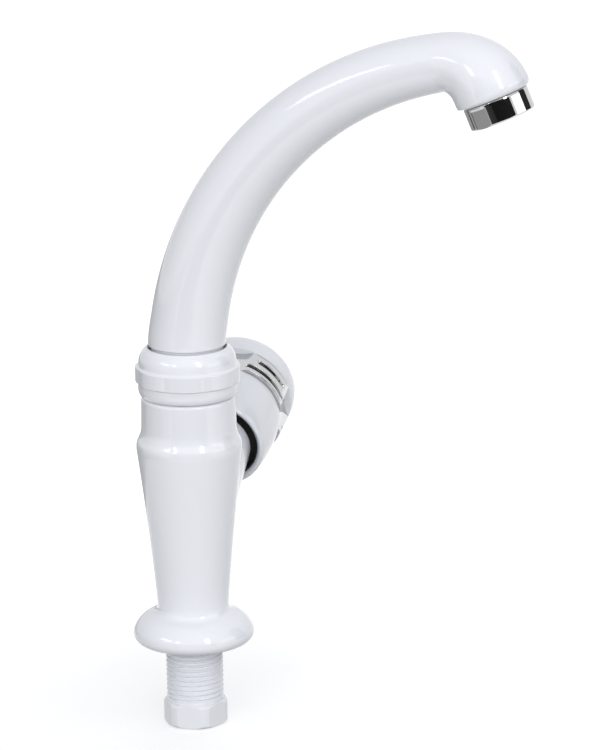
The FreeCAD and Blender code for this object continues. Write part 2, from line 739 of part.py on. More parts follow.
# Headwork: the bonnet screws into the boss; the spindle turns in it and lifts the jumper.
def make_headwork():
    bearing = "spindle_radius + running_clearance"
    stem = rod("bonnet_stem", "chamber_radius - running_clearance", "bonnet_low", head_low, valve)
    head = bar("bonnet_hexagon", 6, "bonnet_head_flats", head_low, head_high, valve)
    hollows = [bar("bonnet_guide", 6, "bonnet_guide_flats", "bonnet_low", "bonnet_guide_end", valve),
               rod("bonnet_bearing", bearing, "bonnet_low", head_high, valve)]
    keep("bonnet", without("bonnet_cut", joined("bonnet_solid", [stem, head]), hollows))
    keep("bonnet_washer", ring("bonnet_washer_ring", "chamber_radius", "bonnet_head_flats / 2",
                               "boss_end", head_low, place=valve))
    clip_root = "spindle_radius - 0.6"
    seal_root = "(spindle_radius + running_clearance - spindle_seal_section)"
    shaft = turned("spindle_shaft", [
        ("0", "spindle_tip"),
        ("spindle_thread_radius", "spindle_tip"),
        ("spindle_thread_radius", collar_low),
        ("spindle_collar_radius", collar_low),
        ("spindle_collar_radius", collar_high),
        ("spindle_radius", collar_high),
        ("spindle_radius", clip_low + " - running_clearance"),
        (clip_root, clip_low + " - running_clearance"),
        (clip_root, clip_high + " + running_clearance"),
        ("spindle_radius", clip_high + " + running_clearance"),
        ("spindle_radius", square_low),
        ("0", square_low)], place=valve)
    square = bar("spindle_square_end", 4, "spindle_square", square_low, spindle_end, valve)
    grooves = [ring("spindle_groove_%d" % index, seal_root, "spindle_radius + 1",
                    spindle_seal_place(index) + " - spindle_seal_section * 0.65",
                    spindle_seal_place(index) + " + spindle_seal_section * 0.65", place=valve)
               for index in range(2)]
    tapped = rod("spindle_tapping", "knob_screw_radius", hub_low, spindle_end, valve)
    keep("spindle", without("spindle_cut", joined("spindle_solid", [shaft, square]), grooves + [tapped]))
    for index, name in enumerate(("spindle_seal_inner", "spindle_seal_outer")):
        keep(name, o_ring(name + "_ring", "spindle_seal_section - seal_clearance * 2",
                          "spindle_radius + running_clearance - spindle_seal_section / 2",
                          spindle_seal_place(index), valve))
    clip = ring("clip_whole", clip_root + " + running_clearance", "clip_radius",
                clip_low, clip_high, place=valve)
    mouth_at = valve.multiply(moved(number("clip_radius"), 0, number(clip_low + " - clip_thickness")))
    opening = block("clip_mouth", "clip_radius * 2", "clip_gap * 2", "clip_thickness * 3", mouth_at)
    keep("spindle_clip", without("clip_cut", clip, [opening]))


def make_jumper():
    washer_high = "seat_place + jumper_washer"
    disc_high = washer_high + " + jumper_disc"
    screw_end = disc_high + " + jumper_screw_radius"
    screw_head = "seat_place + jumper_washer * 0.6"
    disc = rod("jumper_disc", "jumper_radius", washer_high, disc_high, valve)
    guide = bar("jumper_guide", 6, "bonnet_guide_flats - running_clearance * 2",
                disc_high, jumper_top, valve)
    bores = [rod("jumper_thread", "spindle_thread_radius + running_clearance",
                 "spindle_tip - jumper_lift - jumper_head_room", jumper_top, valve),
             rod("jumper_screw_hole", "jumper_screw_radius", washer_high, screw_end, valve)]
    keep("jumper", without("jumper_cut", joined("jumper_solid", [disc, guide]), bores))
    keep("jumper_washer", turned("jumper_washer_disc", [
        ("jumper_screw_head + running_clearance", "seat_place"),
        ("jumper_radius", "seat_place"),
        ("jumper_radius", washer_high),
        ("jumper_screw_radius", washer_high),
        ("jumper_screw_radius", screw_head),
        ("jumper_screw_head + running_clearance", screw_head)], place=valve))
    keep("jumper_screw", turned("jumper_screw_turned", [
        ("0", "seat_place + running_clearance * 4"),
        ("jumper_screw_head", "seat_place + running_clearance * 4"),
        ("jumper_screw_head", screw_head),
        ("jumper_screw_radius", screw_head),
        ("jumper_screw_radius", screw_end),
        ("0", screw_end)], place=valve))


# Knob: a white skirt on the spindle's square, a bright ring on it and a cap snapped in.
def make_knob():
    web_low = skirt_end + " - knob_wall"
    square_end = spindle_end + " + fit_clearance * 2"
    floor = square_end + " + hub_floor"
    skirt = turned("knob_skirt_turned", [
        ("mouth_radius", knob_mouth + " + lip_round"),
        ("(mouth_radius + lip_radius) / 2", knob_mouth),
        ("lip_radius", knob_mouth + " + lip_round", "skirt_round", 1),
        ("skirt_end_radius", skirt_end),
        ("spigot_radius", skirt_end),
        ("spigot_radius", ring_end),
        ("spigot_radius - knob_wall", ring_end),
        ("spigot_radius - knob_wall", skirt_end),
        ("knob_screw_head + knob_wall / 2", skirt_end),
        ("knob_screw_head + knob_wall / 2", floor),
        ("knob_screw_radius + fit_clearance", floor),
        ("knob_screw_radius + fit_clearance", hub_low),
        ("hub_radius", hub_low),
        ("hub_radius", web_low),
        ("skirt_end_radius - knob_wall", web_low)], place=valve)
    square = bar("hub_square", 4, "spindle_square + fit_clearance", hub_low, square_end, valve)
    keep("knob_skirt", without("knob_skirt_cut", skirt, [square]))
    groove = "ring_groove_depth"
    slope = "(ring_end_radius - ring_start_radius)"
    outline = [("spigot_radius + fit_clearance / 2", skirt_end), ("ring_start_radius", skirt_end)]
    for share, depth in ((0.12, "0"), (0.2, groove), (0.34, groove), (0.42, "0"), (0.52, "0"), (0.6, groove),
                         (0.74, groove), (0.82, "0"), (1.0, "0")):
        outline.append(("ring_start_radius + %s * %s - %s" % (slope, share, depth),
                        skirt_end + " + ring_length * %s" % share))
    outline.append(("spigot_radius + fit_clearance / 2", ring_end))
    bright = turned("knob_ring_turned", outline, place=valve)
    scoops = []
    for index in range(int(number("ring_scoops"))):
        angle = number("ring_scoop_turn") + 360 * index / number("ring_scoops")
        out = moved(number("ring_scoop_reach + ring_scoop_radius"), 0, 0)
        at = valve.multiply(turn_about_z(angle)).multiply(out)
        scoops.append(rod("ring_scoop_%d" % index, "ring_scoop_radius",
                          web_low, ring_end + " + knob_wall", at))
    keep("knob_ring", without("knob_ring_cut", bright, scoops))
    snap = "spigot_radius - knob_wall - fit_clearance"
    brim = ring_end + " + cap_rim"
    face = ring_end + " + cap_face"
    dome = "(cap_face_radius^2 + cap_dome^2) / 2 / cap_dome"
    keep("knob_cap", turned("knob_cap_turned", [
        (snap + " - knob_wall", ring_end + " - cap_snap_depth"),
        (snap, ring_end + " - cap_snap_depth"),
        (snap, ring_end),
        ("cap_edge_radius", ring_end, "cap_rim * 3", 1),
        ("cap_radius", brim, "cap_round", 1),
        ("cap_face_radius", face, dome, 1),
        ("0", face + " + cap_dome"),
        ("0", face + " - knob_wall / 2"),
        (snap + " - knob_wall", face + " - knob_wall / 2")], place=valve))
    keep("knob_screw", turned("knob_screw_turned", [
        ("0", floor + " + knob_screw_radius * 1.3"),
        ("knob_screw_head", floor + " + knob_screw_radius * 1.3"),
        ("knob_screw_head", floor),
        ("knob_screw_radius", floor),
        ("knob_screw_radius", hub_low + " + hub_clearance"),
        ("0", hub_low + " + hub_clearance")], place=valve))


make_column()
make_shank()
make_collar_nut()
make_spout()
make_aerator()
make_headwork()
make_jumper()
make_knob()
doc.recompute()

for thing in doc.Objects:
    if "Invalid" in thing.State or "Error" in thing.State:
        raise RuntimeError("%s did not build: %s" % (thing.Label, thing.State))
os.makedirs("parts", exist_ok=True)
for name, piece in nodes.items():
    shape = piece.Shape
    if shape.isNull() or not shape.isValid():
        raise RuntimeError("%s has no valid shape" % name)
    print("%-20s %2d solids %10.1f mm3" % (name, len(shape.Solids), shape.Volume))
for name, piece in nodes.items():
    piece.Shape.exportStep("parts/%s.step" % name)
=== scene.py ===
import json
import math
import bmesh
import bpy
import numpy as np
from mathutils import Matrix, Vector


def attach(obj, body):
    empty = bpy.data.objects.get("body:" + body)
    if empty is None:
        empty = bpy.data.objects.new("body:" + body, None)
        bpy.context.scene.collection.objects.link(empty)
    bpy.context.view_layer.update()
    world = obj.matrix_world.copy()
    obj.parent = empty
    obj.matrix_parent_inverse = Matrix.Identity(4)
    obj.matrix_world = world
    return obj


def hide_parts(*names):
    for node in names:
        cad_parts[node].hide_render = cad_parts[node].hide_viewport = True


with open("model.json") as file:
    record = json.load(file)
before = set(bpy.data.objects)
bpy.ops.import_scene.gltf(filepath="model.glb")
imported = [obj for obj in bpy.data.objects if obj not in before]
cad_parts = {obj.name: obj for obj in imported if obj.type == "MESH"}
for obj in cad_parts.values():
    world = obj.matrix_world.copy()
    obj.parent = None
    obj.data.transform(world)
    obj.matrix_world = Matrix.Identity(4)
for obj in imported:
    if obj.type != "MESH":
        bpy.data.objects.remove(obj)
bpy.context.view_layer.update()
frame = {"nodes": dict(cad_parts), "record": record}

cadNodes = frame["nodes"]
mm = 0.001
upright = Matrix.Identity(4)
mergeWithin, shortestEdge = 1e-7, 1e-8  # metres
print("stage: frame loaded,", len(cadNodes), "nodes")


# shapes shared by several pieces

def arcPoints(corners, step=0.25):
    # points along an outline of (radius, height[, arc radius, side]) corners
    points = []
    for index, corner in enumerate(corners[:-1]):
        start = np.array(corner[:2], float)
        end = np.array(corners[index + 1][:2], float)
        way = end - start
        length = np.hypot(*way)
        count = max(int(length / step), 1)
        for share in np.arange(count) / count:
            point = start + way * share
            if len(corner) > 2:
                radius, side = corner[2:]
                left = np.array([-way[1], way[0]]) / length
                centre = (start + end) / 2 + left * math.sqrt(radius ** 2 - length ** 2 / 4) * side
                first = math.atan2(*(start - centre)[::-1])
                last = math.atan2(*(end - centre)[::-1])
                turn = (last - first + math.pi) % (2 * math.pi) - math.pi
                angle = first + turn * share
                point = centre + radius * np.array([math.cos(angle), math.sin(angle)])
            points.append(point)
    points.append(np.array(corners[-1][:2], float))
    return np.array(points)


def softened(points, softness, perSoftness=3, least=8):
    # evenly spaced along the outline, then every corner is rounded by the same small amount
    steps = np.hypot(*np.diff(points, axis=0).T)
    along = np.concatenate([[0], np.cumsum(steps)])
    count = max(int(along[-1] / (softness / perSoftness)), least)
    even = np.linspace(0, along[-1], count)
    fine = np.stack([np.interp(even, along, points[:, k]) for k in (0, 1)], 1)
    reach = 3 * perSoftness
    kernel = np.exp(-0.5 * (np.arange(-reach, reach + 1) / perSoftness) ** 2)
    kernel /= kernel.sum()
    padded = np.concatenate([2 * fine[0] - fine[reach:0:-1], fine, 2 * fine[-1] - fine[-2:-reach - 2:-1]])
    smooth = np.stack([np.convolve(padded[:, k], kernel, "valid") for k in (0, 1)], 1)
    smooth[0], smooth[-1] = fine[0], fine[-1]
    return smooth


def thinned(points, tolerance, longest):
    # keeps the points that the curve needs, and none further apart than longest
    kept = [0]
    here = 0
    while here < len(points) - 1:
        further = here + 1
        while further + 1 < len(points):
            chord = points[further + 1] - points[here]
            length = np.hypot(*chord)
            between = points[here + 1:further + 1] - points[here]
            away = np.abs(between[:, 0] * chord[1] - between[:, 1] * chord[0]) / max(length, 1e-9)
            if away.max() > tolerance or length > longest:
                break
            further += 1
        kept.append(further)
        here = further
    return points[kept]


def outline(corners, softness, tolerance, longest):
    return thinned(softened(arcPoints(corners), softness), tolerance, longest)


def smoothStep(low, high, value):
    share = np.clip((value - low) / (high - low), 0, 1)
    return share * share * (3 - 2 * share)


def turnedPoint(radius, angle, along):
    # sizes in mm about Z, the point in metres
    return Vector((radius * math.cos(angle) * mm, radius * math.sin(angle) * mm, along * mm))


def meshPiece(name, points, faces):
    mesh = bpy.data.meshes.new(name)
    mesh.from_pydata([tuple(p) for p in points], [], faces)
    mesh.validate()
    piece = bpy.data.objects.new(name, mesh)
    bpy.context.scene.collection.objects.link(piece)
    return piece


def ringFaces(rings, around):
    # quads from each ring to the next, and from the last to the first
    faces = []
    for ring in range(rings):
        low = ring * around
        high = ((ring + 1) % rings) * around
        for k in range(around):
            n = (k + 1) % around
            faces.append((low + k, low + n, high + n, high + k))
    return faces


def finishMesh(piece, place=upright):
    # doubles merged, faces turned outwards, and the place put into the mesh
    work = bmesh.new()
    work.from_mesh(piece.data)
    bmesh.ops.remove_doubles(work, verts=work.verts, dist=mergeWithin)
    bmesh.ops.dissolve_degenerate(work, edges=work.edges, dist=shortestEdge)
    bmesh.ops.recalc_face_normals(work, faces=work.faces)
    work.to_mesh(piece.data)
    work.free()
    piece.data.transform(place)
    piece.data.shade_smooth()
    piece.data.update()


def turnedPiece(name, loop, place, around, radiusAt=None, roundBelow=0.0):
    # a closed outline (radius, height in mm) turned about its axis, shaped by radiusAt outside
    # roundBelow, and set at its place
    angles = np.arange(around) * 2 * math.pi / around
    rows = []
    for radius, height in loop:
        radii = np.full(around, radius)
        if radiusAt and radius >= roundBelow:
            radii = radiusAt(radius, height, angles)
        rows.append(np.stack([radii * np.cos(angles), radii * np.sin(angles), np.full(around, height)], 1))
    piece = meshPiece(name, np.concatenate(rows) * mm, ringFaces(len(loop), around))
    finishMesh(piece, place)
    return piece


def placeFrom(x, y, z, origin):
    # a place from its three axes and its origin in metres
    place = Matrix((x, y, z)).transposed().to_4x4()
    place.translation = origin
    return place


# the valve's axis: degrees from X and upwards, and the height where it starts on the column's axis
valveSizes = {"azimuth": 96.3, "tilt": 16.0, "height": 53.4}
turnAngle = math.radians(valveSizes["azimuth"])
tiltAngle = math.radians(valveSizes["tilt"])
levelOut = Vector((math.cos(turnAngle), math.sin(turnAngle), 0))
valveAxis = (levelOut * math.cos(tiltAngle) + Vector((0, 0, math.sin(tiltAngle)))).normalized()
valveLevel = Vector((math.sin(turnAngle), -math.cos(turnAngle), 0)).normalized()
valvePlace = placeFrom(valveLevel, valveAxis.cross(valveLevel), valveAxis,
                       Vector((0, 0, valveSizes["height"] * mm)))


# node helpers
socketKinds = {tuple: "NodeSocketColor", int: "NodeSocketInt", float: "NodeSocketFloat"}
patternOutputs = {"Color": "NodeSocketColor", "Roughness": "NodeSocketFloat", "Height": "NodeSocketFloat"}


def feed(tree, node, given):
    # each socket takes a link or a constant
    for socket, value in given.items():
        if isinstance(value, bpy.types.NodeSocket):
            tree.links.new(value, node.inputs[socket])
        else:
            node.inputs[socket].default_value = value


def addNode(tree, kind, given=None, **settings):
    # the settings come first, because they decide which sockets a node has
    node = tree.nodes.new(kind)
    for name, value in settings.items():
        setattr(node, name, value)
    feed(tree, node, given or {})
    return node


def calculator(tree):
    # a shorthand for math nodes in one tree
    def calc(operation, *values):
        return addNode(tree, "ShaderNodeMath", dict(enumerate(values)), operation=operation).outputs[0]
    return calc


def newTree(kind, name, inputs, outputs):
    # a node tree with named inputs and outputs
    tree = bpy.data.node_groups.new(name, kind)
    if kind == "GeometryNodeTree":
        tree.interface.new_socket("Geometry", in_out="INPUT", socket_type="NodeSocketGeometry")
    for label, value in inputs.items():
        socket = tree.interface.new_socket(label, in_out="INPUT", socket_type=socketKinds[type(value)])
        socket.default_value = value
    for label, socketKind in outputs.items():
        tree.interface.new_socket(label, in_out="OUTPUT", socket_type=socketKind)
    return tree, tree.nodes.new("NodeGroupInput").outputs, tree.nodes.new("NodeGroupOutput")


def newPattern(name, inputs):
    return newTree("ShaderNodeTree", name, inputs, patternOutputs)


def newGrowth(name, inputs):
    return newTree("GeometryNodeTree", name, inputs, {"Geometry": "NodeSocketGeometry"})


def closeGrowth(tree, geometry, material, out):
    real = addNode(tree, "GeometryNodeRealizeInstances", {"Geometry": geometry})
    coloured = addNode(tree, "GeometryNodeSetMaterial", {"Geometry": real.outputs[0], "Material": material})
    feed(tree, out, {"Geometry": coloured.outputs[0]})
    return tree


def grownMesh(piece, tree, values):
    # runs the tree on the piece and keeps its result as a plain mesh
    modifier = piece.modifiers.new(tree.name, "NODES")
    modifier.node_group = tree
    for item in tree.interface.items_tree:
        if item.item_type == "SOCKET" and item.in_out == "INPUT" and item.name in values:
            modifier[item.identifier] = values[item.name]
    depsgraph = bpy.context.evaluated_depsgraph_get()
    result = bpy.data.meshes.new_from_object(piece.evaluated_get(depsgraph), depsgraph=depsgraph)
    piece.modifiers.remove(modifier)
    old = piece.data
    piece.data = result
    result.name = old.name
    bpy.data.meshes.remove(old)
    return piece


# materials
skinPattern = {"peelDetail": 2.0, "smearSize": 55.0, "smearDetail": 4.0, "flowSize": 14.0, "flowDetail": 2.0,
               "flowTint": (0.55, 0.57, 0.62, 1)}
wearPattern = {"grainDetail": 3.0, "cloudSize": 90.0, "cloudDetail": 5.0}


def noiseAt(tree, place, scale, detail):
    noise = addNode(tree, "ShaderNodeTexNoise", {"Vector": place, "Scale": scale, "Detail": detail})
    return noise.outputs["Fac"]


def mixColors(tree, share, first, second, blend):
    mixed = addNode(tree, "ShaderNodeMix", {"Factor": share, "A": first, "B": second},
                    data_type="RGBA", blend_type=blend)
    return mixed.outputs["Result"]


def buildMouldedSkin():
    # faint flow marks, dust in the gloss and a soft orange peel, as on moulded plastic
    p = skinPattern
    group, given, out = newPattern("mouldedSkin", {
        "Peel size": 900.0, "Gloss spread": 0.05, "Base roughness": 0.2, "Tone spread": 0.02,
        "Color": (0.8, 0.8, 0.8, 1)})
    calc = calculator(group)
    place = addNode(group, "ShaderNodeTexCoord").outputs["Object"]
    smear = noiseAt(group, place, p["smearSize"], p["smearDetail"])
    tone = calc("MULTIPLY", noiseAt(group, place, p["flowSize"], p["flowDetail"]), given["Tone spread"])
    feed(group, out, {
        "Color": mixColors(group, tone, given["Color"], p["flowTint"], "MULTIPLY"),
        "Roughness": calc("MULTIPLY_ADD", smear, given["Gloss spread"], given["Base roughness"]),
        "Height": noiseAt(group, place, given["Peel size"], p["peelDetail"])})
    return group


def buildWear():
    # fine grain, smears and rubbed spots for metal and rubber
    p = wearPattern
    group, given, out = newPattern("handledMetal", {
        "Grain size": 400.0, "Smear": 0.08, "Base roughness": 0.1, "Color": (0.8, 0.8, 0.8, 1),
        "Stain": (0.5, 0.5, 0.5, 1), "Stain share": 0.1})
    calc = calculator(group)
    place = addNode(group, "ShaderNodeTexCoord").outputs["Object"]
    cloud = noiseAt(group, place, p["cloudSize"], p["cloudDetail"])
    share = calc("MULTIPLY", cloud, given["Stain share"])
    feed(group, out, {
        "Color": mixColors(group, share, given["Color"], given["Stain"], "MIX"),
        "Roughness": calc("MULTIPLY_ADD", cloud, given["Smear"], given["Base roughness"]),
        "Height": noiseAt(group, place, given["Grain size"], p["grainDetail"])})
    return group


def newMaterial(name):
    material = bpy.data.materials.new(name)
    material.use_nodes = True
    return material, material.node_tree


def finishedMaterial(name, group, bump, skin, shader):
    material, tree = newMaterial(name)
    pattern = addNode(tree, "ShaderNodeGroup", skin, node_tree=group).outputs
    relief = addNode(tree, "ShaderNodeBump", {"Strength": bump[0], "Distance": bump[1],
                                              "Height": pattern["Height"]})
    feed(tree, tree.nodes["Principled BSDF"], {
        "Base Color": pattern["Color"], "Roughness": pattern["Roughness"],
        "Normal": relief.outputs["Normal"], **shader})
    return material


mouldedSkin = buildMouldedSkin()
handledMetal = buildWear()
# one finish for each slot of the record: bump strength and distance, pattern, shader
finishes = {
    "white_plastic": {
        "name": "glossWhitePlastic", "group": mouldedSkin, "bump": (0.1, 0.00006),
        "skin": {"Color": (0.855, 0.87, 0.91, 1), "Base roughness": 0.07, "Gloss spread": 0.05,
                 "Tone spread": 0.05, "Peel size": 700.0},
        "shader": {"Coat Weight": 0.15, "Coat Roughness": 0.03, "IOR": 1.5}},
    "chrome": {
        "name": "brightChrome", "group": handledMetal, "bump": (0.04, 0.00003),
        "skin": {"Color": (0.61, 0.615, 0.625, 1), "Base roughness": 0.03, "Smear": 0.05,
                 "Stain": (0.40, 0.39, 0.38, 1), "Stain share": 0.12, "Grain size": 260.0},
        "shader": {"Metallic": 1.0}},
    "black_rubber": {
        "name": "mattRubber", "group": handledMetal, "bump": (0.35, 0.0001),
        "skin": {"Color": (0.025, 0.025, 0.026, 1), "Base roughness": 0.55, "Smear": 0.25,
                 "Stain": (0.09, 0.09, 0.09, 1), "Stain share": 0.5, "Grain size": 1500.0},
        "shader": {}},
    "acetal": {
        "name": "satinAcetal", "group": mouldedSkin, "bump": (0.2, 0.00008),
        "skin": {"Color": (0.72, 0.71, 0.67, 1), "Base roughness": 0.34, "Gloss spread": 0.12,
                 "Tone spread": 0.12, "Peel size": 1400.0},
        "shader": {}},
    "fibre": {
        "name": "pressedFibre", "group": handledMetal, "bump": (0.5, 0.0001),
        "skin": {"Color": (0.42, 0.13, 0.09, 1), "Base roughness": 0.6, "Smear": 0.2,
                 "Stain": (0.25, 0.08, 0.06, 1), "Stain share": 0.6, "Grain size": 2200.0},
        "shader": {}},
    "steel": {
        "name": "turnedSteel", "group": handledMetal, "bump": (0.15, 0.00005),
        "skin": {"Color": (0.56, 0.56, 0.57, 1), "Base roughness": 0.24, "Smear": 0.2,
                 "Stain": (0.34, 0.33, 0.32, 1), "Stain share": 0.4, "Grain size": 900.0},
        "shader": {"Metallic": 1.0}},
    "brass": {
        "name": "turnedBrass", "group": handledMetal, "bump": (0.15, 0.00005),
        "skin": {"Color": (0.72, 0.53, 0.25, 1), "Base roughness": 0.22, "Smear": 0.2,
                 "Stain": (0.45, 0.28, 0.12, 1), "Stain share": 0.5, "Grain size": 700.0},
        "shader": {"Metallic": 1.0}},
}
bySlot = {slotName: finishedMaterial(**finish) for slotName, finish in finishes.items()}
for part in frame["record"]["subparts"]:
    for cadSlot in cadNodes[part["node"]].material_slots:
        cadSlot.material = bySlot[part["material_slot"]]
print("stage: materials made and put on the carried-over nodes")


def put(piece, body, slotName, *replaced):
    piece.data.materials.clear()
    piece.data.materials.append(bySlot[slotName])
    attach(piece, body)
    if replaced:
        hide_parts(*replaced)


# column with its foot flange and valve boss
columnSizes = {
    "around": 256, "wallFrom": 13.0,
    # corners from the foot up, then from the neck down the inside
    "outer": [(10.52, 0.02), (19.3, 0.02, 3.15, 1), (22.06, 3.4, 3.9, 1), (21.5, 5.45, 10.5, 1),
              (15.2, 10.7, 3.3, -1), (12.95, 13.8, 1300.0, -1), (19.1, 72.0, 9.0, 1), (18.95, 76.2, 10.5, -1),
              (17.3, 81.6), (17.05, 91.9, 0.9, 1), (16.3, 92.8)],
    "inner": [(16.3, 92.8), (15.2, 92.85), (15.2, 103.5), (11.8, 103.5), (11.8, 66.0), (6.0, 66.0),
              (6.0, 17.6), (10.52, 17.6), (10.52, 0.02)],
    # softness, tolerance and longest step of each outline, as in the other pieces
    "outerEdges": (0.45, 0.003, 2.0), "innerEdges": (0.2, 0.01, 8.0)}
columnOuter = arcPoints(columnSizes["outer"])
columnLoop = np.concatenate([outline(columnSizes["outer"], *columnSizes["outerEdges"])[:-1],
                             outline(columnSizes["inner"], *columnSizes["innerEdges"])])
bossSizes = {
    "around": 128, "root": 16.0, "end": 13.3, "start": 2.0, "length": 38.6,
    "searchTo": 30.0, "searchWithin": 3e-8, "fillet": 3.4, "filletReach": 1.15, "filletSteps": 8,
    "sunk": 0.9, "wallShares": (0.15, 0.5, 0.85),
    # the rim's rounding as (distance back from the end, inset)
    "rim": ((0.5, 0.0), (0.35, 0.02), (0.18, 0.11), (0.06, 0.26), (0.0, 0.5), (0.0, 1.2)),
    "bore": 6.7, "mouthBevel": 0.2, "floor": 6.0, "floorRadius": 12.0}


def columnRadius(height):
    rising = columnOuter[columnOuter[:, 1] > columnSizes["wallFrom"]]
    return np.interp(height, rising[:, 1], rising[:, 0])


def bossPoint(angle, along, extra=0.0):
    b = bossSizes
    share = (along - b["start"]) / (b["length"] - b["start"])
    radius = b["root"] + (b["end"] - b["root"]) * share + extra
    return valvePlace @ turnedPoint(radius, angle, along)


def bossMeets(angle):
    # how far along the valve's axis the boss leaves the column's wall, by halving
    low, high = 0.0, bossSizes["searchTo"]
    while high - low > bossSizes["searchWithin"]:
        middle = (low + high) / 2
        point = bossPoint(angle, middle)
        inside = math.hypot(point.x, point.y) / mm < columnRadius(point.z / mm)
        low, high = (middle, high) if inside else (low, middle)
    return (low + high) / 2


def onColumn(point):
    # the nearest place on the column's wall at the same height
    radius = columnRadius(point.z / mm) * mm
    flat = Vector((point.x, point.y, 0)).normalized()
    return Vector((flat.x * radius, flat.y * radius, point.z))


def bossStrip(angle):
    # one strip of the boss: sunk in the column, over the fillet, along the wall and into the bore
    b = bossSizes
    meet = bossMeets(angle)
    corner = bossPoint(angle, meet)
    up = bossPoint(angle, meet + b["fillet"])
    away = onColumn(bossPoint(angle, meet, b["fillet"] * b["filletReach"]))
    sunk = onColumn(away)
    inward = Vector((-sunk.x, -sunk.y, 0)).normalized() * b["sunk"] * mm
    strip = [sunk + inward]
    for step in range(b["filletSteps"] + 1):
        share = step / b["filletSteps"]
        strip.append(away * (1 - share) ** 2 + corner * 2 * share * (1 - share) + up * share ** 2)
    wall = b["length"] - b["rim"][0][0] - meet - b["fillet"]
    for share in b["wallShares"]:
        strip.append(bossPoint(angle, meet + b["fillet"] + wall * share))
    for back, inset in b["rim"]:
        strip.append(bossPoint(angle, b["length"] - back, -inset))
    for radius, along in ((b["bore"] + b["mouthBevel"], b["length"]),
                          (b["bore"], b["length"] - b["mouthBevel"]),
                          (b["bore"], b["floor"]), (b["floorRadius"], b["floor"])):
        strip.append(valvePlace @ turnedPoint(radius, angle, along))
    return strip


def makeBoss():
    around = bossSizes["around"]
    strips = [bossStrip(2 * math.pi * k / around) for k in range(around)]
    count = len(strips[0])
    points = [strips[k][ring] for ring in range(count) for k in range(around)]
    piece = meshPiece("valveBoss", points, ringFaces(count, around))
    finishMesh(piece)
    return piece


put(turnedPiece("columnBody", columnLoop, upright, columnSizes["around"]), "base", "white_plastic", "column")
put(makeBoss(), "base", "white_plastic")
print("stage: column and boss")


# threaded shank with its spanner end, the thread by geometry nodes
shankSizes = {
    "around": 96, "crest": 10.4775, "root": 9.32, "pitch": 1.814, "low": -22.7, "high": 16.0, "rowStep": 0.13,
    "bevelIn": 0.6, "bevelDown": 0.5, "coreInset": 1.3, "coreLow": 12.0, "bore": 6.0, "inlet": 7.475,
    "reach": -31.5,
    # where a flank begins and ends, in pitches from the crest, the length in which the thread sets in,
    # and how deep under the crest a point still counts as the bar's skin
    "flankFrom": 0.04, "flankTo": 0.46, "runIn": 1.2, "skin": 0.1}
spannerSizes = {
    "around": 288, "length": 8.8, "sides": 6, "flats": 21.8, "cornerRadius": 11.75, "turn": 8.0,
    "soft": 0.05, "footBevel": 1.0, "footArc": 1.5, "topBevel": 0.9, "shoulder": 9.0, "shoulderDrop": 0.5,
    "roundBelow": 8.9, "boreLow": 10.5, "inletHigh": 10.0,
    "outerEdges": (0.18, 0.003, 0.8), "innerEdges": (0.15, 0.01, 2.0)}


def buildThreadTree(inputs):
    # turns a plain bar's skin into a helical thread by moving its points inwards
    s = shankSizes
    tree, given, out = newGrowth("shankThread", inputs)
    calc = calculator(tree)
    place = addNode(tree, "GeometryNodeInputPosition").outputs[0]
    x, y, z = addNode(tree, "ShaderNodeSeparateXYZ", {0: place}).outputs
    turn = calc("DIVIDE", calc("ARCTAN2", y, x), 2 * math.pi)
    phase = calc("FRACT", calc("SUBTRACT", calc("DIVIDE", z, given["Pitch"]), turn))
    folded = calc("PINGPONG", phase, 0.5)  # each pitch folded at its middle
    flank = addNode(tree, "ShaderNodeMapRange", {
        "Value": folded, "From Min": s["flankFrom"], "From Max": s["flankTo"]},
        interpolation_type="SMOOTHSTEP")
    setsIn = addNode(tree, "ShaderNodeMapRange", {
        "Value": z, "From Min": given["Low"], "From Max": calc("ADD", given["Low"], s["runIn"] * mm)})
    radius = calc("SQRT", calc("ADD", calc("MULTIPLY", x, x), calc("MULTIPLY", y, y)))
    outside = calc("GREATER_THAN", radius, (s["crest"] - s["skin"]) * mm)
    share = calc("MULTIPLY", calc("MULTIPLY", flank.outputs[0], setsIn.outputs[0]), outside)
    scale = calc("DIVIDE", calc("SUBTRACT", radius, calc("MULTIPLY", share, given["Depth"])), radius)
    joined = addNode(tree, "ShaderNodeCombineXYZ", {
        0: calc("MULTIPLY", x, scale), 1: calc("MULTIPLY", y, scale), 2: z})
    moved = addNode(tree, "GeometryNodeSetPosition", {
        "Geometry": given["Geometry"], "Position": joined.outputs[0]})
    return closeGrowth(tree, moved.outputs[0], bySlot["white_plastic"], out)


def makeShank():
    s = shankSizes
    heights = np.arange(s["low"], s["high"] - s["bevelDown"], s["rowStep"])
    outer = np.stack([np.full(len(heights), s["crest"]), heights], 1)
    coreLow, coreRadius = s["reach"] + s["coreLow"], s["crest"] - s["coreInset"]
    loop = np.concatenate([outer, [(s["crest"] - s["bevelIn"], s["high"]), (s["bore"], s["high"]),
                                   (s["bore"], coreLow), (coreRadius, coreLow), (coreRadius, s["low"])]])
    piece = turnedPiece("shankThread", loop, upright, s["around"])
    inputs = {"Pitch": s["pitch"] * mm, "Depth": (s["crest"] - s["root"]) * mm, "Low": s["low"] * mm}
    grownMesh(piece, buildThreadTree(inputs), inputs)
    piece.data.shade_smooth()
    return piece


def hexRadius(angle):
    # a hexagon with turned-down corners, softened where the flats meet them
    s = spannerSizes
    side = 360.0 / s["sides"]
    turn = (np.degrees(angle) - s["turn"]) % side - side / 2
    flat = s["flats"] / 2 / np.cos(np.radians(turn))
    return -s["soft"] * np.log(np.exp(-flat / s["soft"]) + np.exp(-s["cornerRadius"] / s["soft"]))


